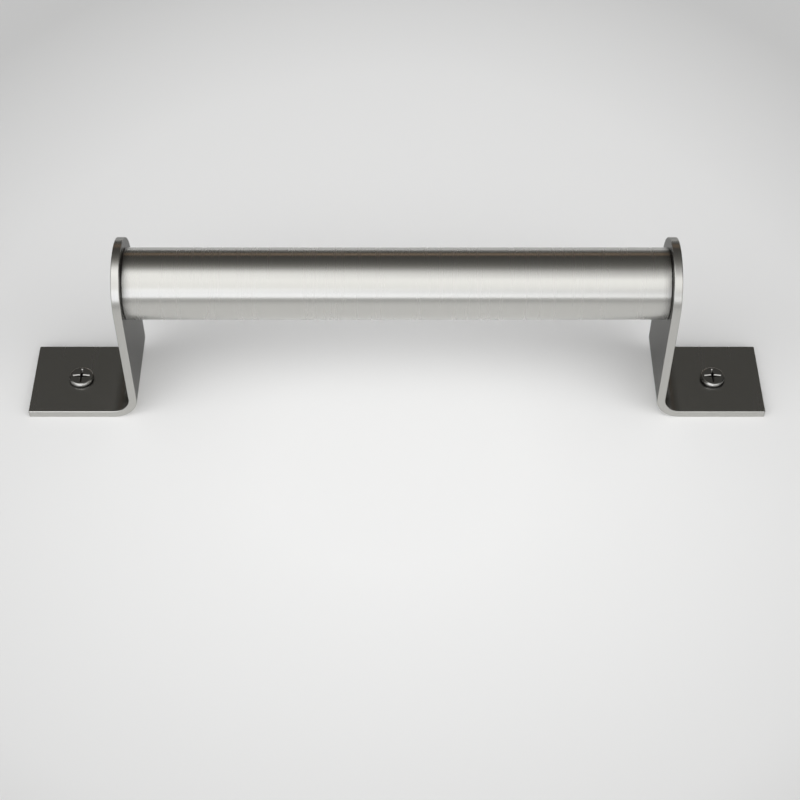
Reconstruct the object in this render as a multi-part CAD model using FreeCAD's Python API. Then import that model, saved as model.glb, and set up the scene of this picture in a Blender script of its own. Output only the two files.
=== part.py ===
import FreeCAD, Part
import math
import os

from FreeCAD import Vector

# Pull handle for a barn door: a round tube held off the door by two brackets bent from flat bar.
# All sizes are in millimetres. The door's face is the plane z = 0, the grip runs along X, and
# the origin lies on the door's face midway between the two feet.

# Grip tube
grip_diameter = 25.0
grip_wall = 1.5
grip_length = 187.0            # between the inner faces of the two uprights
grip_height = 53.0             # from the door's face to the grip's axis
grip_end_chamfer = 0.35

# Brackets
bar_thickness = 3.0
bar_width = 32.0
bend_inner_radius = 6.5
foot_length = 40.0             # from the upright's inner face to the end of the foot
edge_break = 0.35              # small chamfer left by deburring every edge

# Wood screws that hold the feet to the door
wood_screw_diameter = 4.5
wood_screw_length = 30.0       # under the head
wood_screw_point = 6.0
wood_screw_neck_diameter = 3.6
wood_screw_neck_length = 4.0   # plain neck under the head, which ends just below the foot
wood_screw_inset = 17.5        # from the end of the foot to the screw's axis
pan_head_diameter = 9.0
pan_head_height = 1.65
pan_head_rim = 0.55            # upright edge of the head, below its rounded shoulder
pan_head_flat_diameter = 5.4   # level top, inside the shoulder

# Countersunk machine screws that hold the uprights to the end plugs
plug_screw_diameter = 5.0
plug_screw_length = 16.0
plug_screw_end_chamfer = 0.6
flush_head_diameter = 9.4
flush_head_lip = 0.2

# End plugs, pressed into the tube
plug_length = 15.0
plug_chamfer = 0.6

# Cross recess, the same in both kinds of screw
recess_span = 6.4
recess_wing_width = 1.1
recess_depth = 1.7

# Named clearances
hole_clearance = 0.25          # round the shank of a screw in a drilled hole
seat_clearance = 0.05          # between a countersink and the head that it holds
thread_clearance = 0.03        # between a tapped hole and its screw
press_clearance = 0.02         # between a plug and the tube's bore

# What follows from them
grip_radius = grip_diameter / 2
bore_radius = grip_radius - grip_wall
upright_inner_x = grip_length / 2
upright_outer_x = upright_inner_x + bar_thickness
foot_end_x = upright_inner_x + foot_length
bend_outer_radius = bend_inner_radius + bar_thickness
half_width = bar_width / 2
wood_screw_x = foot_end_x - wood_screw_inset
over_cut = 1.0                 # how far a cutting solid runs past the face that it opens
smooth_join_angle = math.radians(20)

X = Vector(1, 0, 0)
Y = Vector(0, 1, 0)
Z = Vector(0, 0, 1)
ORIGIN = Vector(0, 0, 0)


def line(start, end):
    return Part.LineSegment(start, end).toShape()


def arc(start, middle, end):
    return Part.Arc(start, middle, end).toShape()


def revolved(points, rounded=None):
    """Solid of revolution about Z from (radius, z) points, listed from the lower end of the axis.

    The stretch of this number, counted from 1, is a rounded shoulder; all others are straight.
    """
    corners = [Vector(radius, 0, z) for radius, z in points]
    edges = []
    for number, (start, end) in enumerate(zip(corners, corners[1:] + corners[:1]), 1):
        edges.append(shoulder(start, end) if number == rounded else line(start, end))
    face = Part.Face(Part.Wire(edges))
    return face.revolve(ORIGIN, Z, 360)


def shoulder(start, end):
    """Arc that rises from start and comes level at end, which is nearer to the axis."""
    width = start.x - end.x
    rise = end.z - start.z
    radius = (width ** 2 + rise ** 2) / (2 * rise)
    centre = Vector(end.x, 0, end.z - radius)
    half_way = (start + end) * 0.5 - centre
    return arc(start, centre + half_way * (radius / half_way.Length), end)


def cross_recess(top_z):
    """Cutter for a cross recess: two blades whose ends slope up to the head's top, and a pit."""
    half_wing = recess_wing_width / 2
    low_half = recess_wing_width
    high_half = recess_span / 2
    low = top_z - recess_depth
    high = top_z + over_cut
    outline = Part.makePolygon([
        Vector(-low_half, -half_wing, low),
        Vector(low_half, -half_wing, low),
        Vector(high_half, -half_wing, top_z),
        Vector(high_half, -half_wing, high),
        Vector(-high_half, -half_wing, high),
        Vector(-high_half, -half_wing, top_z),
        Vector(-low_half, -half_wing, low),
    ])
    blade = Part.Face(outline).extrude(Vector(0, recess_wing_width, 0))
    other_blade = blade.copy()
    other_blade.rotate(ORIGIN, Z, 90)
    pit = Part.makeCone(half_wing, recess_wing_width, recess_depth, Vector(0, 0, low), Z)
    return blade.fuse([other_blade, pit])


def bracket():
    """Right-hand bracket: the bent strip seen from the front, given its width and rounded top."""
    crown = grip_height + half_width + over_cut
    bend_x = upright_outer_x + bend_inner_radius
    bend_z = bar_thickness + bend_inner_radius
    half_turn = math.sqrt(0.5)
    low = -half_width
    strip = Part.Wire([
        line(Vector(foot_end_x, low, 0), Vector(foot_end_x, low, bar_thickness)),
        line(Vector(foot_end_x, low, bar_thickness), Vector(bend_x, low, bar_thickness)),
        arc(Vector(bend_x, low, bar_thickness),
            Vector(bend_x - half_turn * bend_inner_radius, low, bend_z - half_turn * bend_inner_radius),
            Vector(upright_outer_x, low, bend_z)),
        line(Vector(upright_outer_x, low, bend_z), Vector(upright_outer_x, low, crown)),
        line(Vector(upright_outer_x, low, crown), Vector(upright_inner_x, low, crown)),
        line(Vector(upright_inner_x, low, crown), Vector(upright_inner_x, low, bend_z)),
        arc(Vector(upright_inner_x, low, bend_z),
            Vector(bend_x - half_turn * bend_outer_radius, low, bend_z - half_turn * bend_outer_radius),
            Vector(bend_x, low, 0)),
        line(Vector(bend_x, low, 0), Vector(foot_end_x, low, 0)),
    ])
    bent_bar = Part.Face(strip).extrude(Vector(0, bar_width, 0))

    side_x = upright_inner_x - over_cut
    silhouette = Part.Wire([
        line(Vector(side_x, -half_width, -over_cut), Vector(side_x, -half_width, grip_height)),
        arc(Vector(side_x, -half_width, grip_height),
            Vector(side_x, 0, grip_height + half_width),
            Vector(side_x, half_width, grip_height)),
        line(Vector(side_x, half_width, grip_height), Vector(side_x, half_width, -over_cut)),
        line(Vector(side_x, half_width, -over_cut), Vector(side_x, -half_width, -over_cut)),
    ])
    envelope = Part.Face(silhouette).extrude(Vector(foot_length + 2 * over_cut, 0, 0))
    body = bent_bar.common(envelope).removeSplitter().Solids[0]
    body = body.makeChamfer(edge_break, sharp_edges(body))

    foot_hole = Part.makeCylinder(
        wood_screw_diameter / 2 + hole_clearance,
        bar_thickness + 2 * over_cut,
        Vector(wood_screw_x, 0, -over_cut),
        Z,
    )
    return body.cut([foot_hole, in_upright(countersink())])


def sharp_edges(body):
    """Every edge where two faces meet at a corner, and not in a smooth join."""
    sharp = []
    for edge in body.Edges:
        middle = edge.valueAt((edge.FirstParameter + edge.LastParameter) / 2)
        normals = []
        for face in body.ancestorsOfType(edge, Part.Face):
            u, v = face.Surface.parameter(middle)
            normals.append(face.normalAt(u, v))
        if normals[0].getAngle(normals[1]) > smooth_join_angle:
            sharp.append(edge)
    return sharp


def countersink():
    """Cutter for the flush screw's hole, its mouth at z = 0 and its far end below."""
    mouth_radius = flush_head_diameter / 2 + seat_clearance
    hole_radius = plug_screw_diameter / 2 + hole_clearance
    cone_depth = mouth_radius - hole_radius
    return revolved([
        (0, -bar_thickness - over_cut),
        (hole_radius, -bar_thickness - over_cut),
        (hole_radius, -flush_head_lip - cone_depth),
        (mouth_radius, -flush_head_lip),
        (mouth_radius, over_cut),
        (0, over_cut),
    ])


def in_upright(shape):
    """Turns +Z to +X and puts the shape's own origin on the grip's axis at the outer face."""
    shape.rotate(ORIGIN, Y, 90)
    shape.translate(Vector(upright_outer_x, 0, grip_height))
    return shape


def grip_tube():
    """Plain tube with broken outer edges at both ends."""
    start = Vector(-grip_length / 2, 0, grip_height)
    outside = Part.makeCylinder(grip_radius, grip_length, start, X)
    ends = [edge for edge in outside.Edges if isinstance(edge.Curve, Part.Circle)]
    outside = outside.makeChamfer(grip_end_chamfer, ends)
    return outside.cut(Part.makeCylinder(bore_radius, grip_length, start, X))


def end_plug():
    """Right-hand plug: a turned slug with its outer end flush with the tube's, tapped through."""
    start = Vector(grip_length / 2 - plug_length, 0, grip_height)
    slug = Part.makeCylinder(bore_radius - press_clearance, plug_length, start, X)
    ends = [edge for edge in slug.Edges if isinstance(edge.Curve, Part.Circle)]
    slug = slug.makeChamfer(plug_chamfer, ends)
    tapped_radius = plug_screw_diameter / 2 + thread_clearance
    return slug.cut(Part.makeCylinder(tapped_radius, plug_length, start, X))


def plug_screw():
    """Right-hand flush screw, its head level with the upright's outer face."""
    shank_radius = plug_screw_diameter / 2
    head_radius = flush_head_diameter / 2
    head_height = flush_head_lip + head_radius - shank_radius
    blank = revolved([
        (0, -plug_screw_length),
        (shank_radius - plug_screw_end_chamfer, -plug_screw_length),
        (shank_radius, -plug_screw_length + plug_screw_end_chamfer),
        (shank_radius, -head_height),
        (head_radius, -flush_head_lip),
        (head_radius, 0),
        (0, 0),
    ])
    return in_upright(blank.cut(cross_recess(0)))


def wood_screw():
    """Right-hand mounting screw, the underside of its pan head on the foot."""
    shank_radius = wood_screw_diameter / 2
    neck_radius = wood_screw_neck_diameter / 2
    head_radius = pan_head_diameter / 2
    profile = [
        (0, -wood_screw_length),
        (shank_radius, -wood_screw_length + wood_screw_point),
        (shank_radius, -wood_screw_neck_length),
        (neck_radius, -wood_screw_neck_length),
        (neck_radius, 0),
        (head_radius, 0),
        (head_radius, pan_head_rim),
        (pan_head_flat_diameter / 2, pan_head_height),
        (0, pan_head_height),
    ]
    shoulder_number = profile.index((head_radius, pan_head_rim)) + 1
    blank = revolved(profile, shoulder_number)
    screw = blank.cut(cross_recess(pan_head_height))
    screw.translate(Vector(wood_screw_x, 0, bar_thickness))
    return screw


def mirrored(shape):
    return shape.mirror(ORIGIN, X)


os.makedirs("parts", exist_ok=True)

grip_tube().exportStep("parts/grip_tube.step")

handed = {
    "bracket": bracket(),
    "end_plug": end_plug(),
    "bracket_screw": plug_screw(),
    "mounting_screw": wood_screw(),
}
for name, right in handed.items():
    right.exportStep("parts/" + name + "_right.step")
    mirrored(right).exportStep("parts/" + name + "_left.step")
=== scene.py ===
import math

import bpy
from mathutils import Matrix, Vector
from mathutils.geometry import delaunay_2d_cdt


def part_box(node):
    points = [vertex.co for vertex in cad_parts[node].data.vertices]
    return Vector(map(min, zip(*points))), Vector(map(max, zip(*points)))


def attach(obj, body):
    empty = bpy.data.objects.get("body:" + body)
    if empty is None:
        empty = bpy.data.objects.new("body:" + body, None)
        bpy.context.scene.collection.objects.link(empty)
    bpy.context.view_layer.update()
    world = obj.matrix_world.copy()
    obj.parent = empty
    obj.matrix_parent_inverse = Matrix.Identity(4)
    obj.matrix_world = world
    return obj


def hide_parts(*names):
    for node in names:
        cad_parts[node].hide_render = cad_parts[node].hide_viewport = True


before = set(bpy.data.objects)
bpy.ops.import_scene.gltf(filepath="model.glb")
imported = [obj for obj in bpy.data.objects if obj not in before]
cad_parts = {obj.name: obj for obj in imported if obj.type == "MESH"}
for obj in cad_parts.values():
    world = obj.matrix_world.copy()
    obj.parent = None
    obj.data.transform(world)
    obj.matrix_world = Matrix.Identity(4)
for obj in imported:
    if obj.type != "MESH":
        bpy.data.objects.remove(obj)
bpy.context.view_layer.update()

# Pull handle for a barn door: a brushed round tube between two brackets bent from flat bar,
# each held to the door by one screw. Lengths below are in metres, and the fine ones are
# written as so many times MM.
MM = 0.001

# Sizes measured on the solids
tube_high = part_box("grip_tube")[1]
bar_low, bar_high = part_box("bracket_right")
plug_screw_low, plug_screw_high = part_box("bracket_screw_right")
wood_screw_low, wood_screw_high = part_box("mounting_screw_right")
tube_half_length = tube_high.x
bar_half_width = bar_high.y
grip_height = bar_high.z - bar_half_width
tube_radius = tube_high.z - grip_height
bar_thickness = plug_screw_high.x - bar_low.x
upright_x = bar_low.x
foot_end_x = bar_high.x
wood_screw_x = (wood_screw_low.x + wood_screw_high.x) / 2
pan_head_radius = (wood_screw_high.x - wood_screw_low.x) / 2
pan_head_height = wood_screw_high.z - bar_thickness
flush_head_radius = (plug_screw_high.z - plug_screw_low.z) / 2

# Sizes that repeat those of the solids
tube_wall = 1.5 * MM
bend_outer_radius = 9.5 * MM
wood_screw_radius = 2.25 * MM
wood_screw_neck = 1.8 * MM
wood_screw_neck_length = 4.0 * MM
wood_screw_point = 6.0 * MM
plug_screw_radius = 2.5 * MM
plug_screw_end_chamfer = 0.6 * MM
hole_clearance = 0.25 * MM
seat_clearance = 0.05 * MM
flush_lip = 0.2 * MM

# Fine shapes that only the visible model has
tube_edge_radius = 0.35 * MM
bar_edge_radius = 0.35 * MM
bar_corner_radius = 0.5 * MM
hole_edge = 0.15 * MM
pan_rim_height = 0.75 * MM
pan_flat_radius = 3.65 * MM
pan_lower_rounding = 0.45 * MM
flush_head_edge = 0.12 * MM

# Threads: half_width is half of a thread's foot, as a share of the pitch
wood_thread_pitch = 2.0 * MM
wood_thread_root = 1.55 * MM
wood_thread_half_width = 0.3
wood_tip_length = 0.12 * MM
wood_tip_radius = 0.024 * MM
wood_point_root = 0.72         # radius between the threads of the point, as a share of theirs
machine_thread_pitch = 0.8 * MM
machine_thread_root = 2.02 * MM
machine_thread_half_width = 0.44

# Cross recess, alike in all the screws. Its walls lean by half a right angle down to the lip's
# depth, and below it by recess_wall_lean per unit of depth.
recess_half_span = 3.2 * MM
recess_half_width = 0.72 * MM
recess_tip_half_width = 0.32 * MM
recess_depth = 1.15 * MM
recess_end_slope = 1.4
recess_corner = 0.12 * MM
recess_lip_depth = 0.26 * MM
recess_wall_lean = 0.15
recess_softness = 0.05 * MM
recess_floor_softness = 0.2 * MM

# How finely curves are divided
tube_segments = 256
head_segments = 256
shank_segments = 128
hole_segments = 64
rounding_steps = 6
bar_edge_steps = 4
bar_corner_steps = 6
crown_steps = 96
bend_steps = 48
wood_thread_rows = 20          # to a turn of the thread
machine_thread_rows = 10
slope_step = 0.01 * MM         # how far apart two heights are taken to find a slope


class Shell:
    """Faces of one closed surface, with the surface's own normal kept at every corner."""

    digits = 8                 # corners that agree in so many decimals of a metre are one point

    def __init__(self):
        self.points = []
        self.numbers = {}
        self.faces = []
        self.normals = []
        self.uvs = []

    def number(self, point):
        key = tuple(round(c, self.digits) for c in point)
        if key not in self.numbers:
            self.numbers[key] = len(self.points)
            self.points.append(point)
        return self.numbers[key]

    def face(self, corners):
        """corners are (point, normal, uv), anticlockwise seen from outside."""
        kept = []
        for point, normal, uv in corners:
            number = self.number(point)
            if number not in [k[0] for k in kept]:
                kept.append((number, normal, uv))
        if len(kept) < 3:
            return
        self.faces.append([k[0] for k in kept])
        self.normals.extend(k[1] for k in kept)
        self.uvs.extend(k[2] for k in kept)

    def join(self, lower, upper):
        """Quads between two rings of equally many corners."""
        count = len(lower)
        for i in range(count):
            j = (i + 1) % count
            self.face([lower[i], lower[j], upper[j], upper[i]])

    def join_all(self, rings):
        for lower, upper in zip(rings[:-1], rings[1:]):
            self.join(lower, upper)

    def join_half(self, lower, upper):
        """Triangles between a ring and one above it with twice as many corners."""
        count = len(lower)
        for i in range(count):
            j = (i + 1) % count
            a, b, c = upper[2 * i], upper[2 * i + 1], upper[(2 * i + 2) % len(upper)]
            self.face([lower[i], b, a])
            self.face([lower[i], lower[j], b])
            self.face([lower[j], c, b])


def mirrored(shell):
    """The same surface on the other side of the plane x = 0."""
    other = Shell()
    start = 0
    for face in shell.faces:
        corners = []
        for k, number in enumerate(face):
            x, y, z = shell.points[number]
            nx, ny, nz = shell.normals[start + k]
            corners.append(((-x, y, z), (-nx, ny, nz), shell.uvs[start + k]))
        start += len(face)
        other.face(corners[::-1])
    return other


def add_piece(name, shell, material, node, brushing=None):
    """brushing gives the direction that the surface is brushed in, from a point and its normal."""
    mesh = bpy.data.meshes.new(name)
    mesh.from_pydata(shell.points, [], shell.faces)
    mesh.polygons.foreach_set("use_smooth", [True] * len(mesh.polygons))
    uv_layer = mesh.uv_layers.new(name="surface")
    uv_layer.data.foreach_set("uv", [c for uv in shell.uvs for c in uv])
    mesh.normals_split_custom_set(shell.normals)
    if brushing:
        corners = [shell.points[number] for face in shell.faces for number in face]
        lines = mesh.attributes.new("brushing", "FLOAT_VECTOR", "CORNER")
        lines.data.foreach_set("vector", [c for point, normal in zip(corners, shell.normals)
                                          for c in brushing(point, normal)])
    mesh.materials.append(material)
    piece = bpy.data.objects.new(name, mesh)
    bpy.context.scene.collection.objects.link(piece)
    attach(piece, "root")
    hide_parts(node)


# Turned shapes. Profiles are lists of stations (radius, height, radial normal, axial normal).
# Two stations in one place with different normals make a sharp corner.

def profile(points, roundings):
    """Stations along straight runs between points, with each inner corner rounded or left sharp."""
    runs = []
    for (r0, h0), (r1, h1) in zip(points[:-1], points[1:]):
        length = math.hypot(r1 - r0, h1 - h0)
        along = ((r1 - r0) / length, (h1 - h0) / length)
        runs.append({"start": (r0, h0), "end": (r1, h1), "along": along,
                     "normal": (along[1], -along[0])})
    corners = list(zip(runs[:-1], runs[1:], roundings))
    cuts = [0] + [radius * corner_cut(run, following) for run, following, radius in corners] + [0]
    stations = []
    for k, run in enumerate(runs):
        (r0, h0), (r1, h1), (ar, ah) = run["start"], run["end"], run["along"]
        stations.append((r0 + ar * cuts[k], h0 + ah * cuts[k], *run["normal"]))
        stations.append((r1 - ar * cuts[k + 1], h1 - ah * cuts[k + 1], *run["normal"]))
        if cuts[k + 1] > 0:
            stations.extend(corner_arc(*corners[k]))
    return stations


def turn(run, following):
    """Angle from one run of a profile to the next."""
    ar, ah = run["along"]
    br, bh = following["along"]
    return math.atan2(ar * bh - ah * br, ar * br + ah * bh)


def corner_cut(run, following):
    """How far from the corner a rounding of radius 1 starts."""
    return abs(math.tan(turn(run, following) / 2))


def corner_arc(run, following, radius):
    """Stations inside a rounded corner, without its two ends."""
    angle = turn(run, following)
    cut = radius * corner_cut(run, following)
    nr, nh = run["normal"]
    side = 1 if angle > 0 else -1
    centre_r = run["end"][0] - run["along"][0] * cut - nr * radius * side
    centre_h = run["end"][1] - run["along"][1] * cut - nh * radius * side
    found = []
    for k in range(1, rounding_steps):
        part = angle * k / rounding_steps
        c, s = math.cos(part), math.sin(part)
        mr, mh = nr * c - nh * s, nr * s + nh * c
        found.append((centre_r + side * radius * mr, centre_h + side * radius * mh, mr, mh))
    return found


class Axis:
    """Places points given by radius, angle and height about a line in the handle's frame."""

    def __init__(self, origin, along, side):
        self.origin = Vector(origin)
        self.along = Vector(along)
        self.side = Vector(side)
        self.across = self.along.cross(self.side)

    def point(self, radius, angle, height):
        out = self.side * math.cos(angle) + self.across * math.sin(angle)
        return tuple(self.origin + out * radius + self.along * height)

    def normal(self, radial, tangential, axial, angle):
        out = self.side * math.cos(angle) + self.across * math.sin(angle)
        round_it = self.across * math.cos(angle) - self.side * math.sin(angle)
        return tuple((out * radial + round_it * tangential + self.along * axial).normalized())

    def ring(self, station, segments):
        radius, height, radial, axial = station
        corners = []
        for k in range(segments):
            angle = 2 * math.pi * k / segments
            corners.append((self.point(radius, angle, height),
                            self.normal(radial, 0, axial, angle),
                            (height, radius * angle)))
        return corners


def lathe(shell, axis, stations, segments):
    """Adds the surface that the stations sweep, and gives back its rings."""
    same = 1e-9
    rings = [axis.ring(station, segments) for station in stations]
    for lower, upper, a, b in zip(rings[:-1], rings[1:], stations[:-1], stations[1:]):
        if abs(a[0] - b[0]) > same or abs(a[1] - b[1]) > same:
            shell.join(lower, upper)
    return rings


# Grip

def grip_shell():
    """Tube along X, its outer edges slightly rounded and its bore open."""
    bore = tube_radius - tube_wall
    end = tube_half_length
    stations = profile(
        [(bore, -end), (tube_radius, -end), (tube_radius, end), (bore, end), (bore, -end)],
        [tube_edge_radius, tube_edge_radius, 0],
    )
    shell = Shell()
    lathe(shell, Axis((0, 0, grip_height), (1, 0, 0), (0, 0, 1)), stations, tube_segments)
    return shell


# Brackets. The bent bar is drawn flat, as distance along the strip from the foot's end, y across
# it and depth from the side that touches the door and the tube, and then it is bent.

bend_start = foot_end_x - upright_x - bend_outer_radius
bend_length = (bend_outer_radius - bar_thickness / 2) * math.pi / 2
bend_end = bend_start + bend_length
crown_centre = bend_end + grip_height - bend_outer_radius
foot_hole_s = foot_end_x - wood_screw_x


def bend_angle(s):
    return min(max((s - bend_start) / bend_length, 0), 1) * math.pi / 2


def bent(s, y, depth):
    """Where a point of the flat strip lies on the right-hand bracket."""
    angle = bend_angle(s)
    radius = bend_outer_radius - depth
    x = upright_x + bend_outer_radius - radius * math.sin(angle)
    z = bend_outer_radius - radius * math.cos(angle)
    if s < bend_start:
        x += bend_start - s
    if s > bend_end:
        z += s - bend_end
    return (x, y, z)


def bent_normal(s, along, across, out):
    """Turns a normal of the flat strip into one of the bent bar."""
    angle = bend_angle(s)
    cosine, sine = math.cos(angle), math.sin(angle)
    length = math.sqrt(along ** 2 + across ** 2 + out ** 2)
    return ((out * sine - along * cosine) / length,
            across / length,
            (along * sine + out * cosine) / length)


def away_from_strip(point):
    """Direction square to the strip's flat sides at a point of either bracket."""
    x, _, z = point
    across = abs(x) - upright_x - bend_outer_radius
    below = bend_outer_radius - z
    if across > 0:
        return Vector((0, 0, 1))
    if below < 0:
        return Vector((1, 0, 0))
    return Vector((math.copysign(-across, x), 0, below)).normalized()


def bar_brushing(point, normal):
    """The flat sides are brushed across the bar, and its edges along their own run."""
    flat_side = 0.9            # cosine between the normal and the flat side's
    away = away_from_strip(point)
    if abs(away.dot(normal)) > flat_side:
        return (0, 1, 0)
    return tuple(away.cross(normal).normalized())


def outline_arc(centre_s, centre_y, radius, start, sweep, steps):
    found = []
    for k in range(steps + 1):
        angle = start + sweep * k / steps
        ns, ny = math.cos(angle), math.sin(angle)
        found.append((centre_s + radius * ns, centre_y + radius * ny, ns, ny))
    return found


def strip_outline():
    """Corners of the flat strip, anticlockwise, as (s, y, normal s, normal y)."""
    corner = bar_corner_radius
    side = bar_half_width
    quarter = math.pi / 2
    stops = [bend_start + bend_length * k / bend_steps for k in range(bend_steps + 1)]
    found = outline_arc(corner, corner - side, corner, math.pi, quarter, bar_corner_steps)
    found.extend((s, -side, 0, -1) for s in stops)
    found.extend(outline_arc(crown_centre, 0, side, -quarter, math.pi, crown_steps))
    found.extend((s, side, 0, 1) for s in reversed(stops))
    found.extend(outline_arc(corner, side - corner, corner, quarter, quarter, bar_corner_steps))
    return found


def hole_ring(centre_s, radius):
    angles = [2 * math.pi * k / hole_segments for k in range(hole_segments)]
    return [(centre_s + radius * math.cos(angle), radius * math.sin(angle)) for angle in angles]


def bend_lines(outline):
    """Pairs of corners that face each other across the strip at every step of the bend."""
    slack = 1e-9
    by_station = {}
    for k, (s, _, _, ny) in enumerate(outline):
        if bend_start - slack <= s <= bend_end + slack and abs(ny) == 1:
            by_station.setdefault(round(s, 7), []).append(k)
    return [tuple(pair) for pair in by_station.values()]


def strip_face(shell, outline, holes, depth, out):
    """Flat side of the strip, its triangles cut at every step of the bend."""
    merged_below = 1e-7
    in_hole = 0.999            # share of the radius within which a triangle's middle is in a hole
    points = [(s - ns * bar_edge_radius, y - ny * bar_edge_radius) for s, y, ns, ny in outline]
    loops = [list(range(len(points)))]
    for centre_s, radius in holes:
        start = len(points)
        points.extend(hole_ring(centre_s, radius))
        loops.append(list(range(start, len(points))))
    edges = [(a, b) for loop in loops for a, b in zip(loop, loop[1:] + loop[:1])]
    edges.extend(bend_lines(outline))
    cut = delaunay_2d_cdt([Vector(p) for p in points], edges, [], 0, merged_below)
    triangles, sources = cut[2], cut[3]
    for triangle in triangles:
        corners = [points[sources[k][0]] for k in triangle]
        (s0, y0), (s1, y1), (s2, y2) = corners
        middle_s, middle_y = (s0 + s1 + s2) / 3, (y0 + y1 + y2) / 3
        if any(math.hypot(middle_s - c, middle_y) < r * in_hole for c, r in holes):
            continue
        area = (s1 - s0) * (y2 - y0) - (s2 - s0) * (y1 - y0)
        if (area > 0) == (out > 0):
            corners.reverse()
        shell.face([(bent(s, y, depth), bent_normal(s, 0, 0, out), (s, y)) for s, y in corners])


def strip_edge(shell, outline):
    """Rim of the strip, rounded where it meets the two flat sides."""
    low_levels = []
    for k in range(bar_edge_steps + 1):
        angle = k * math.pi / 2 / bar_edge_steps
        aside, down = math.sin(angle), math.cos(angle)
        inset, depth = bar_edge_radius * (1 - aside), bar_edge_radius * (1 - down)
        low_levels.append((inset, depth, aside, -down))
    high_levels = [(inset, bar_thickness - depth, aside, -out)
                   for inset, depth, aside, out in reversed(low_levels)]
    run = [0]
    for (s0, y0, _, _), (s1, y1, _, _) in zip(outline, outline[1:]):
        run.append(run[-1] + math.hypot(s1 - s0, y1 - y0))
    rings = []
    for inset, depth, aside, out in low_levels + high_levels:
        ring = []
        girth = depth + math.copysign(inset, out)
        for (s, y, ns, ny), length in zip(outline, run):
            ring.append((bent(s - ns * inset, y - ny * inset, depth),
                         bent_normal(s, ns * aside, ny * aside, out),
                         (girth, min(length, run[-1] - length))))
        rings.append(ring)
    for lower, upper in zip(rings[:-1], rings[1:]):
        shell.join(upper, lower)


def hole_wall(shell, centre_s, stations):
    """Wall of a round hole from (radius, depth) stations, deepest last."""
    for (r0, d0), (r1, d1) in zip(stations[:-1], stations[1:]):
        length = math.hypot(r1 - r0, d1 - d0)
        inward, out = (d0 - d1) / length, (r0 - r1) / length
        rings = []
        for radius, depth in ((r0, d0), (r1, d1)):
            ring = []
            for s, y in hole_ring(centre_s, radius):
                ns, ny = (s - centre_s) / radius, y / radius
                ring.append((bent(s, y, depth), bent_normal(s, -ns * inward, -ny * inward, out),
                             (s, y)))
            rings.append(ring)
        shell.join(rings[1], rings[0])


def bracket_shell():
    """Right-hand bracket."""
    shell = Shell()
    outline = strip_outline()
    foot_radius = wood_screw_radius + hole_clearance
    mouth = flush_head_radius + seat_clearance
    throat = plug_screw_radius + hole_clearance
    top = bar_thickness
    foot_stations = [(foot_radius + hole_edge, top), (foot_radius, top - hole_edge),
                     (foot_radius, hole_edge), (foot_radius + hole_edge, 0)]
    upright_stations = [(mouth, top), (mouth, top - flush_lip),
                        (throat, top - flush_lip - mouth + throat), (throat, 0)]
    strip_face(shell, outline,
               [(foot_hole_s, foot_stations[0][0]), (crown_centre, mouth)], top, 1)
    strip_face(shell, outline,
               [(foot_hole_s, foot_stations[-1][0]), (crown_centre, throat)], 0, -1)
    strip_edge(shell, outline)
    hole_wall(shell, foot_hole_s, foot_stations)
    hole_wall(shell, crown_centre, upright_stations)
    return shell


# Screw heads

def soft_max(a, b, width):
    """The larger of two numbers, blended where they differ by less than the width."""
    gap = max(width - abs(a - b), 0) / width
    return max(a, b) + gap * gap * width / 4


def soft_ramp(distance, width):
    """Zero outside, then a slope of one, with a rounded start of this half-width."""
    if distance <= -width:
        return 0
    if distance >= width:
        return distance
    return (distance + width) ** 2 / (4 * width)


def cross_recess_depth(x, y):
    """How deep the cross recess is below the head's surface."""
    reach = max(abs(x), abs(y))
    share = min(reach / recess_half_span, 1)
    half_width = recess_half_width + (recess_tip_half_width - recess_half_width) * share
    inside_x = min(half_width - abs(y), recess_half_span - abs(x))
    inside_y = min(half_width - abs(x), recess_half_span - abs(y))
    inside = soft_max(inside_x, inside_y, recess_corner)
    lip = soft_ramp(inside, recess_softness)
    wall = max(lip, recess_lip_depth + (lip - recess_lip_depth) / recess_wall_lean)
    end = soft_ramp(recess_half_span - reach, recess_softness) * recess_end_slope
    limit = -soft_max(-wall, -end, recess_softness)
    return max(-soft_max(-limit, -recess_depth, recess_floor_softness), 0)


def pan_surface(radius):
    """Height of the pan head's top at a distance from its axis."""
    rise = pan_head_height - pan_rim_height
    reach = pan_head_radius - pan_flat_radius
    arc = (reach ** 2 + rise ** 2) / (2 * rise)
    over = max(radius - pan_flat_radius, 0)
    return pan_head_height - (arc - math.sqrt(arc ** 2 - over ** 2))


def flush_surface(_):
    """The flush head's top is level all over."""
    return 0


def head_radii(edge_radius):
    """Radii of the rings on a head's top, closer together where the recess is."""
    first = 0.01 * MM
    fine = 0.05 * MM
    coarse = 0.12 * MM
    fine_within = recess_half_span + 0.2 * MM
    radii = [first]
    while radii[-1] < edge_radius - coarse:
        radii.append(radii[-1] + (fine if radii[-1] < fine_within else coarse))
    radii.append(edge_radius)
    return radii


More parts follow.
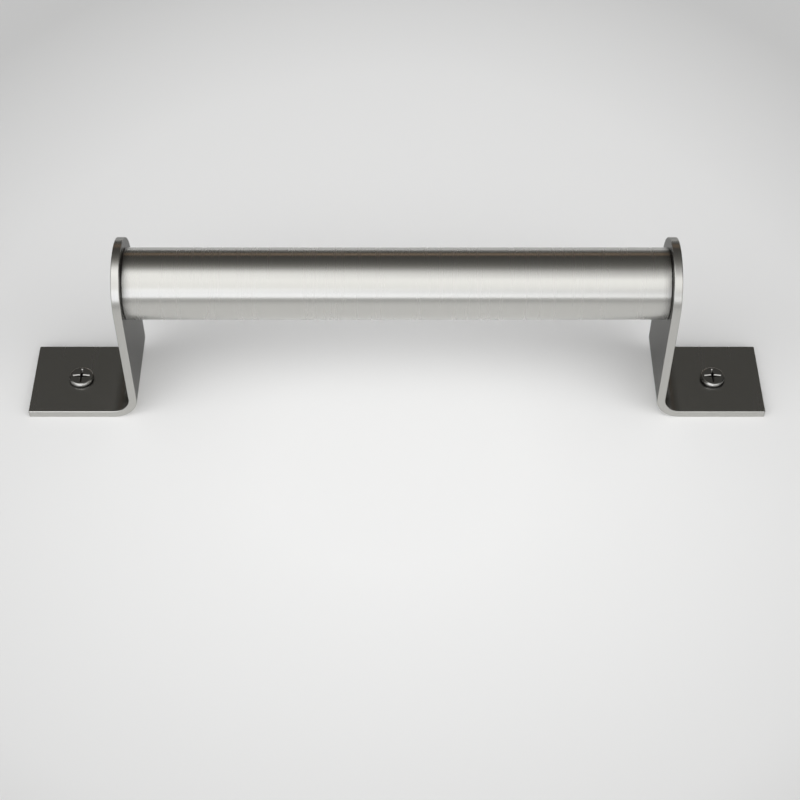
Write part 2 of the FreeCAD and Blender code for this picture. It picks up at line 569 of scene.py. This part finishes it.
def head_top(shell, axis, surface, edge_radius):
    """Top of a screw head with its recess, in rings from the middle out."""
    def height(x, y):
        return surface(math.hypot(x, y)) - cross_recess_depth(x, y)

    step = slope_step
    rings = []
    for radius in head_radii(edge_radius):
        ring = []
        for k in range(head_segments):
            angle = 2 * math.pi * k / head_segments
            c, s = math.cos(angle), math.sin(angle)
            x, y = radius * c, radius * s
            here = height(x, y)
            outward = (here - height(x - step * c, y - step * s)) / step
            after = height(x - step * s, y + step * c)
            before = height(x + step * s, y - step * c)
            around = (after - before) / (2 * step)
            ring.append((axis.point(radius, angle, here),
                         axis.normal(-outward, -around, 1, angle),
                         (x, y)))
        rings.append(ring)
    centre = (axis.point(0, 0, height(0, 0)), axis.normal(0, 0, 1, 0), (0, 0))
    for k in range(head_segments):
        shell.face([centre, rings[0][k], rings[0][(k + 1) % head_segments]])
    for inner, outer in zip(rings[:-1], rings[1:]):
        shell.join(outer, inner)


# Screw shanks

def thread_height(phase, half_width):
    """Share of the thread's full height at a phase from 0 to 1 along the pitch."""
    return max(1 - abs(phase - 0.5) / half_width, 0)


def threaded_rings(axis, low, high, thread, root, crest):
    """Rings up a threaded shank. root and crest give radii at a height."""
    step = slope_step
    pitch = thread["pitch"]

    def radius_at(angle, height):
        phase = (height / pitch - angle / (2 * math.pi)) % 1
        rise = thread_height(phase, thread["half_width"])
        return root(height) + (crest(height) - root(height)) * rise

    rows = int((high - low) / pitch * thread["rows"])
    rings = []
    for k in range(rows + 1):
        height = low + (high - low) * k / rows
        ring = []
        for m in range(shank_segments):
            angle = 2 * math.pi * m / shank_segments
            radius = radius_at(angle, height)
            axial = (radius_at(angle, height + step) - radius_at(angle, height - step)) / (2 * step)
            turned = step / max(radius, step)
            after = radius_at(angle + turned, height)
            before = radius_at(angle - turned, height)
            around = (after - before) / (2 * step)
            ring.append((axis.point(radius, angle, height),
                         axis.normal(1, -around, -axial, angle),
                         (height, radius * angle)))
        rings.append(ring)
    return rings


def close_tip(shell, axis, ring, height):
    """Fan from a ring down to a point on the axis."""
    tip = (axis.point(0, 0, height), axis.normal(0, 0, -1, 0), (0, 0))
    for k in range(len(ring)):
        shell.face([tip, ring[(k + 1) % len(ring)], ring[k]])


def with_normal(ring, normal):
    return [(point, normal, uv) for point, _, uv in ring]


def wood_screw_shell():
    """Pan-head wood screw on Z, the underside of its head at height 0 of its axis."""
    axis = Axis((wood_screw_x, 0, bar_thickness), (0, 0, 1), (1, 0, 0))
    down = axis.normal(0, 0, -1, 0)
    shell = Shell()
    head_top(shell, axis, pan_surface, pan_head_radius)
    edge_run = profile([
        (pan_head_radius - 2 * pan_lower_rounding, 0),
        (pan_head_radius, 0),
        (pan_head_radius, pan_rim_height),
    ], [pan_lower_rounding])
    underside = lathe(shell, axis, edge_run, head_segments)[0]
    neck_top = axis.ring((wood_screw_neck, 0, 0, -1), shank_segments)
    shell.join_half(neck_top, with_normal(underside, down))

    low = wood_screw_low.z - bar_thickness
    high = -wood_screw_neck_length

    def full_radius(height):
        tapering = wood_screw_radius * min((height - low) / wood_screw_point, 1)
        return min(tapering + wood_tip_radius, wood_screw_radius)

    def root(height):
        fade = min(max((high - height) / wood_thread_pitch, 0), 1)
        plain = wood_screw_neck + (wood_thread_root - wood_screw_neck) * fade
        return min(plain, full_radius(height) * wood_point_root)

    def crest(height):
        fade = min(max((high - height) / (wood_thread_pitch / 2), 0), 1)
        return root(height) + (full_radius(height) - root(height)) * fade

    thread = {"pitch": wood_thread_pitch, "half_width": wood_thread_half_width,
              "rows": wood_thread_rows}
    rings = threaded_rings(axis, low + wood_tip_length, high, thread, root, crest)
    close_tip(shell, axis, rings[0], low)
    shell.join_all(rings)
    shell.join_all([axis.ring((wood_screw_neck, h, 1, 0), shank_segments) for h in (high, 0)])
    return shell


def plug_screw_shell():
    """Flush machine screw on X, its top at height 0 of its axis."""
    axis = Axis((plug_screw_high.x, 0, grip_height), (1, 0, 0), (0, 0, 1))
    down = axis.normal(0, 0, -1, 0)
    shell = Shell()
    head_top(shell, axis, flush_surface, flush_head_radius - flush_head_edge)
    low = plug_screw_low.x - plug_screw_high.x
    head_low = plug_screw_radius - flush_head_radius - flush_lip
    stations = profile([
        (plug_screw_radius, head_low),
        (flush_head_radius, -flush_lip),
        (flush_head_radius, -flush_head_edge),
        (flush_head_radius - flush_head_edge, 0),
    ], [0, 0])
    underside = lathe(shell, axis, stations, head_segments)[0]
    throat = axis.ring((machine_thread_root, head_low, 0, -1), shank_segments)
    shell.join_half(throat, with_normal(underside, down))

    def chamfer(height):
        return plug_screw_radius - plug_screw_end_chamfer + (height - low)

    def root(height):
        return min(machine_thread_root, chamfer(height))

    def crest(height):
        fade = min(max((head_low - height) / machine_thread_pitch, 0), 1)
        full_radius = min(plug_screw_radius, chamfer(height))
        return root(height) + (full_radius - root(height)) * fade

    thread = {"pitch": machine_thread_pitch, "half_width": machine_thread_half_width,
              "rows": machine_thread_rows}
    rings = threaded_rings(axis, low, head_low, thread, root, crest)
    shell.join_all(rings)
    close_tip(shell, axis, with_normal(rings[0], down), low)
    return shell


# Parts of materials

def new_material(name):
    material = bpy.data.materials.new(name)
    material.use_nodes = True
    tree = material.node_tree
    return material, tree, tree.nodes["Principled BSDF"]


def feed(tree, value, socket):
    """Links a node's input to another node's output, or sets it to a plain value."""
    if isinstance(value, bpy.types.NodeSocket):
        tree.links.new(value, socket)
    else:
        socket.default_value = value


def add_node(tree, kind, *in_order, settings=None, **by_name):
    """New node, its first inputs given in their order and others by name."""
    node = tree.nodes.new(kind)
    for key, value in (settings or {}).items():
        setattr(node, key, value)
    for socket, value in zip(node.inputs, in_order):
        feed(tree, value, socket)
    for key, value in by_name.items():
        feed(tree, value, node.inputs[key])
    return node


def computed(tree, operation, *values):
    node = add_node(tree, "ShaderNodeMath", *values, settings={"operation": operation})
    return node.outputs[0]


def computed_vector(tree, operation, *values, **by_name):
    settings = {"operation": operation}
    return add_node(tree, "ShaderNodeVectorMath", *values, settings=settings, **by_name)


def coordinates(tree, kind):
    return add_node(tree, "ShaderNodeTexCoord").outputs[kind]


def components(tree, vector):
    return add_node(tree, "ShaderNodeSeparateXYZ", vector).outputs


def streaks(tree, vector, scale, detail=3.0):
    """Noise stretched along the brushing: scale says how fast it changes along each axis."""
    mapping = add_node(tree, "ShaderNodeMapping", Vector=vector, Scale=scale)
    noise = add_node(tree, "ShaderNodeTexNoise", Vector=mapping.outputs["Vector"],
                     Scale=1.0, Detail=detail, Roughness=0.6)
    return noise.outputs["Fac"]


def remap(tree, value, low, high, from_low=0.3, from_high=0.7):
    """from_low becomes low and from_high becomes high. Noise lies about from 0.3 to 0.7."""
    node = add_node(tree, "ShaderNodeMapRange", value, from_low, from_high, low, high)
    return node.outputs["Result"]


def mixed(tree, share, first, second):
    """Colour between two others."""
    node = add_node(tree, "ShaderNodeMix", share, settings={"data_type": "RGBA"})
    feed(tree, first, node.inputs[6])
    feed(tree, second, node.inputs[7])
    return node.outputs[2]


def faded(tree, colour, share):
    return computed_vector(tree, "SCALE", colour, Scale=share).outputs["Vector"]


def add_relief(tree, shader, height, strength, distance):
    bump = add_node(tree, "ShaderNodeBump", Height=height, Strength=strength, Distance=distance)
    tree.links.new(bump.outputs["Normal"], shader.inputs["Normal"])


def set_stops(ramp, stops):
    """stops are (position from 0 to 1, (red, green, blue))."""
    band = ramp.color_ramp
    while len(band.elements) < len(stops):
        band.elements.new(0.5)
    for element, (at, _) in zip(band.elements, stops):
        element.position = at
    for element, (_, colour) in zip(band.elements, stops):
        element.color = (*colour, 1)


# Steel

def brushed_steel(name, look):
    """Metal with fine and broad streaks in its colour, roughness and relief.

    The look's painted shade entry gives two distances along X to both sides, and how bright the
    metal is left at the first; nothing is painted from the second on. "round_axis" is the axis that
    it is brushed round, and without one the surface's own brushing holds.
    """
    material, tree, shader = new_material(name)
    source = coordinates(tree, look["streaks_follow"])
    hair = streaks(tree, source, look["fine_streaks"])
    band = streaks(tree, source, look["broad_streaks"], 2.0)
    both = computed(tree, "MULTIPLY", computed(tree, "ADD", hair, band), 0.5)
    colour = mixed(tree, remap(tree, both, 0, 1), look["dark"], look["light"])
    aside = computed(tree, "ABSOLUTE", components(tree, coordinates(tree, "Object"))["X"])
    # Painted shade: the colour darkens towards the first of two distances along X, to both sides.
    shade_darkest_at, shade_ends_at, shade_darkest = look["painted_shade"]
    bright = remap(tree, aside, shade_darkest, 1, shade_darkest_at, shade_ends_at)
    tree.links.new(faded(tree, colour, bright), shader.inputs["Base Color"])
    tree.links.new(remap(tree, band, *look["roughness"]), shader.inputs["Roughness"])
    grazing = look["grazing_tint"]
    shader.inputs["Specular Tint"].default_value = (grazing, grazing, grazing, 1)
    shader.inputs["Metallic"].default_value = 1.0
    shader.inputs["Anisotropic"].default_value = look["anisotropy"]
    shader.inputs["Anisotropic Rotation"].default_value = 0.25
    add_relief(tree, shader, hair, look["relief"], 0.02 * MM)
    if look["round_axis"]:
        round_it = {"direction_type": "RADIAL", "axis": look["round_axis"]}
        tangent = add_node(tree, "ShaderNodeTangent", settings=round_it)
        tree.links.new(tangent.outputs["Tangent"], shader.inputs["Tangent"])
    else:
        lines = add_node(tree, "ShaderNodeAttribute", settings={"attribute_name": "brushing"})
        tree.links.new(lines.outputs["Vector"], shader.inputs["Tangent"])
    return material


def turned_steel(name, centre, along, look, shaded_below=None):
    """Metal with faint rings left by turning about an axis, and painted shade below a height if
    given.
    """
    ring_streaks = (9000.0, 1.0, 1.0)
    grain_streaks = (2500.0, 2500.0, 2500.0)
    material, tree, shader = new_material(name)
    source = coordinates(tree, "Object")
    moved = computed_vector(tree, "SUBTRACT", source, centre).outputs[0]
    square_to_axis = tuple(0.0 if a else 1.0 for a in along)
    flat = computed_vector(tree, "MULTIPLY", moved, square_to_axis).outputs[0]
    radius = computed_vector(tree, "LENGTH", flat).outputs["Value"]
    rings = add_node(tree, "ShaderNodeCombineXYZ", radius).outputs[0]
    marks = streaks(tree, rings, ring_streaks, 2.0)
    grain = streaks(tree, source, grain_streaks)
    colour = mixed(tree, remap(tree, marks, 0, 1), look["dark"], look["light"])
    # Painted shade: darkest below the given height, fading out 0.3 mm above it.
    if shaded_below:
        rim_shade_level = 0.12
        unshaded_above = shaded_below + 0.3 * MM
        height = components(tree, source)["Z"]
        colour = faded(tree, colour, remap(tree, height, rim_shade_level, 1, shaded_below, unshaded_above))
    tree.links.new(colour, shader.inputs["Base Color"])
    tree.links.new(remap(tree, grain, *look["roughness"]), shader.inputs["Roughness"])
    shader.inputs["Metallic"].default_value = 1.0
    add_relief(tree, shader, marks, look["relief"], 0.01 * MM)
    return material


tube_steel = brushed_steel("tube_steel", {
    "streaks_follow": "Object",
    "fine_streaks": (5200.0, 60.0, 60.0),
    "broad_streaks": (420.0, 14.0, 14.0),
    "round_axis": "X",
    "anisotropy": 0.9,
    "roughness": (0.26, 0.28),
    "relief": 0.03,
    "dark": (0.535, 0.530, 0.507, 1),
    "light": (0.56, 0.555, 0.530, 1),
    "grazing_tint": 1.0,
    # Painted shade beside the brackets: the tube darkens over its last 3 mm towards both ends.
    "painted_shade": (tube_half_length - 0.2 * MM, tube_half_length - 3.2 * MM, 0.68),
})
bar_steel = brushed_steel("bar_steel", {
    "streaks_follow": "UV",
    "fine_streaks": (9000.0, 40.0, 1.0),
    "broad_streaks": (900.0, 10.0, 1.0),
    "round_axis": None,
    "anisotropy": 0.7,
    "roughness": (0.26, 0.275),
    "relief": 0.01,
    "dark": (0.505, 0.500, 0.479, 1),
    "light": (0.525, 0.520, 0.498, 1),
    "grazing_tint": 0.6,
    # Painted shade on the uprights' inner faces, the sides that face the tube.
    "painted_shade": (upright_x + 0.02 * MM, upright_x + 0.14 * MM, 0.42),
})
screw_look = {
    "roughness": (0.10, 0.14),
    "relief": 0.04,
    "dark": (0.42, 0.416, 0.402, 1),
    "light": (0.47, 0.465, 0.450, 1),
}
plug_look = {
    "roughness": (0.28, 0.36),
    "relief": 0.4,
    "dark": (0.50, 0.495, 0.485, 1),
    "light": (0.60, 0.595, 0.585, 1),
}
painted_rim_shade = 0.55 * MM         # painted shade up the wood screw's rim, above the foot

# Pieces

bracket = bracket_shell()
wood_screw = wood_screw_shell()
plug_screw = plug_screw_shell()


def add_end(side, sign):
    """Bracket and screws of one end: sign is 1 on the right and -1 on the left."""
    def placed(shell):
        return shell if sign > 0 else mirrored(shell)

    wood_steel = turned_steel("wood_screw_steel_" + side, (sign * wood_screw_x, 0, 0),
                              (0, 0, 1), screw_look, bar_thickness + painted_rim_shade)
    plug_screw_steel = turned_steel("plug_screw_steel_" + side, (0, 0, grip_height),
                                    (1, 0, 0), screw_look)
    add_piece("bent_bracket_" + side, placed(bracket), bar_steel,
              "bracket_" + side, bar_brushing)
    add_piece("pan_head_screw_" + side, placed(wood_screw), wood_steel,
              "mounting_screw_" + side)
    add_piece("flush_screw_" + side, placed(plug_screw), plug_screw_steel,
              "bracket_screw_" + side)


add_piece("pull_tube", grip_shell(), tube_steel, "grip_tube")
add_end("right", 1)
add_end("left", -1)

plug_steel = turned_steel("plug_steel", (0, 0, grip_height), (1, 0, 0), plug_look)
for node in ("end_plug_left", "end_plug_right"):
    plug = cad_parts[node]
    plug.data.materials.clear()
    plug.data.materials.append(plug_steel)

# Floor: a painted pool of light, palest round the handle, greyest some way off and a little paler
# again beyond. The painted rings lie about a middle in front of the handle. Each row gives a
# distance behind that middle, as a share of floor_reach, and how pale the floor is there.

floor_size = 12.0
middle_in_front_by = 0.045
floor_reach = 1.5
closer_in_front = 0.6          # rings lie closer in front, their distances counting more by this
closer_aside = 1.3             # distances to the sides count this many times
painted_light_pool = [
    (0.0, 0.93), (0.04, 0.93), (0.1, 0.86), (0.15, 0.79), (0.185, 0.69), (0.22, 0.58),
    (0.28, 0.6), (1.0, 0.8),
]


def floor_material():
    material, tree, shader = new_material("pale_floor")
    place = coordinates(tree, "Object")
    shift = (0.0, middle_in_front_by, 0.0)
    moved = add_node(tree, "ShaderNodeMapping", Vector=place, Location=shift)
    parts = components(tree, moved.outputs["Vector"])
    ahead = computed(tree, "MINIMUM", parts["Y"], 0.0)
    depth = computed(tree, "MULTIPLY_ADD", ahead, closer_in_front, parts["Y"])
    width = computed(tree, "MULTIPLY", parts["X"], closer_aside)
    oval = add_node(tree, "ShaderNodeCombineXYZ", width, depth).outputs["Vector"]
    far = computed_vector(tree, "LENGTH", oval).outputs["Value"]
    # Painted pool of light: the floor's colour in rings about the middle.
    ramp = add_node(tree, "ShaderNodeValToRGB", remap(tree, far, 0, 1, 0, floor_reach))
    set_stops(ramp, [(at, (level, level, level)) for at, level in painted_light_pool])
    tree.links.new(ramp.outputs["Color"], shader.inputs["Base Color"])
    shader.inputs["Roughness"].default_value = 0.8
    shader.inputs["Specular IOR Level"].default_value = 0.2
    return material


half_floor = floor_size / 2
floor_mesh = bpy.data.meshes.new("floor")
floor_mesh.from_pydata(
    [(-half_floor, -half_floor, 0), (half_floor, -half_floor, 0),
     (half_floor, half_floor, 0), (-half_floor, half_floor, 0)], [], [(0, 1, 2, 3)])
floor_mesh.materials.append(floor_material())
floor = bpy.data.objects.new("floor", floor_mesh)
bpy.context.scene.collection.objects.link(floor)

# Studio: soft light from the front half of the room and from above, dark behind the handle.
# Each row gives degrees up from the horizon in front and over the top, brightness and tint.

COOL = (0.985, 1.0, 1.045)
PLAIN = (1.0, 1.0, 0.995)
WARM = (1.02, 1.0, 0.94)
BROWN = (1.35, 1.0, 0.72)

left_light = [
    (0, 1.5, COOL), (9, 1.5, COOL), (16, 1.8, COOL), (24, 2.1, COOL), (33, 1.5, PLAIN),
    (45, 1.4, PLAIN), (62, 1.6, PLAIN), (76, 2.0, PLAIN), (86, 1.7, PLAIN), (94, 0.92, PLAIN),
    (102, 0.44, WARM), (112, 0.2, WARM), (124, 0.1, WARM), (146, 0.06, WARM),
    (156, 0.14, BROWN), (164, 0.08, WARM), (180, 0.1, WARM),
]
middle_light = [
    (0, 2.6, COOL), (9, 3.2, COOL), (15, 2.1, COOL), (22, 1.2, PLAIN), (34, 1.2, PLAIN),
    (48, 1.5, PLAIN), (66, 1.8, PLAIN), (75, 1.6, PLAIN), (83, 1.0, PLAIN),
    (92, 0.42, WARM), (104, 0.26, WARM), (122, 0.16, WARM), (144, 0.08, WARM),
    (152, 0.55, BROWN), (158, 0.08, WARM), (166, 0.12, WARM), (180, 0.5, PLAIN),
]
right_light = [
    (0, 1.2, PLAIN), (9, 0.85, PLAIN), (16, 0.85, PLAIN), (24, 0.95, PLAIN), (34, 1.4, PLAIN),
    (48, 1.5, PLAIN), (58, 1.4, PLAIN), (66, 0.8, PLAIN), (74, 0.36, PLAIN),
    (82, 0.2, WARM), (92, 0.15, WARM), (106, 0.12, WARM), (122, 0.1, WARM),
    (144, 0.06, WARM), (154, 0.13, BROWN), (164, 0.08, WARM), (180, 0.4, PLAIN),
]

# Light that the matt floor catches, by the same degrees
floor_light = [
    (0, 1.57, PLAIN), (25, 2.00, PLAIN), (45, 2.10, PLAIN), (60, 2.00, PLAIN), (70, 1.57, PLAIN),
    (78, 0.84, PLAIN), (85, 0.42, PLAIN), (92, 0.31, PLAIN), (180, 0.31, PLAIN),
]

# How the light changes from side to side. Places are given by the sideways part of a direction
# of length 1: 0 is in the middle and 1 is straight to one side.
left_or_right_alone = 0.14     # from here on only the left or the right list counts
fades_from, fades_to = 0.45, 0.85
faded_light = 0.25             # what is left of the mirrored light from fades_to on
floor_light_in_middle, floor_light_at_sides = 0.75, 1.35
seen_directly = (0.72, 0.72, 0.72, 1)


def light_ramp(tree, turn_share, rows):
    """Light by how far up and over a direction is, from 0 in front to 1 behind."""
    ramp = add_node(tree, "ShaderNodeValToRGB", turn_share)
    set_stops(ramp, [(degrees / 180, tuple(level * c for c in tint))
                     for degrees, level, tint in rows])
    return ramp.outputs["Color"]


def studio_world():
    world = bpy.data.worlds.new("studio")
    world.use_nodes = True
    tree = world.node_tree
    tree.nodes.clear()
    toward = components(tree, coordinates(tree, "Generated"))
    front = computed(tree, "MULTIPLY", toward["Y"], -1.0)
    rise = computed(tree, "ARCTAN2", toward["Z"], front)
    turn_share = remap(tree, rise, 0, 1, 0, math.pi)
    to_left = remap(tree, toward["X"], 0, 1, 0, -left_or_right_alone)
    to_right = remap(tree, toward["X"], 0, 1, 0, left_or_right_alone)
    light = mixed(tree, to_left, light_ramp(tree, turn_share, middle_light),
                  light_ramp(tree, turn_share, left_light))
    light = mixed(tree, to_right, light, light_ramp(tree, turn_share, right_light))
    aside = computed(tree, "ABSOLUTE", toward["X"])
    reach = remap(tree, aside, 1, faded_light, fades_from, fades_to)
    from_sides = remap(tree, aside, floor_light_in_middle, floor_light_at_sides, 0, 1)
    mirrored_in = add_node(tree, "ShaderNodeBackground", light, reach)
    falling = add_node(tree, "ShaderNodeBackground",
                       light_ramp(tree, turn_share, floor_light), from_sides)
    pale = add_node(tree, "ShaderNodeBackground", seen_directly, 1.0)
    path = add_node(tree, "ShaderNodeLightPath").outputs
    lit = add_node(tree, "ShaderNodeMixShader", path["Is Glossy Ray"],
                   falling.outputs[0], mirrored_in.outputs[0])
    either = add_node(tree, "ShaderNodeMixShader", path["Is Camera Ray"],
                      lit.outputs[0], pale.outputs[0])
    add_node(tree, "ShaderNodeOutputWorld", either.outputs[0])
    bpy.context.scene.world = world


studio_world()

# Camera, as the photograph was taken

degrees_down = 49.61
camera_data = bpy.data.cameras.new("camera")
camera_data.lens = 77.23
camera_data.sensor_width = 36.0
camera_data.clip_start = 0.01
camera = bpy.data.objects.new("camera", camera_data)
camera.location = (0.00111, -0.41538, 0.47904)
camera.rotation_euler = (math.radians(90 - degrees_down), 0, 0)
bpy.context.scene.collection.objects.link(camera)
bpy.context.scene.camera = camera
bpy.context.scene.view_settings.view_transform = "Standard"
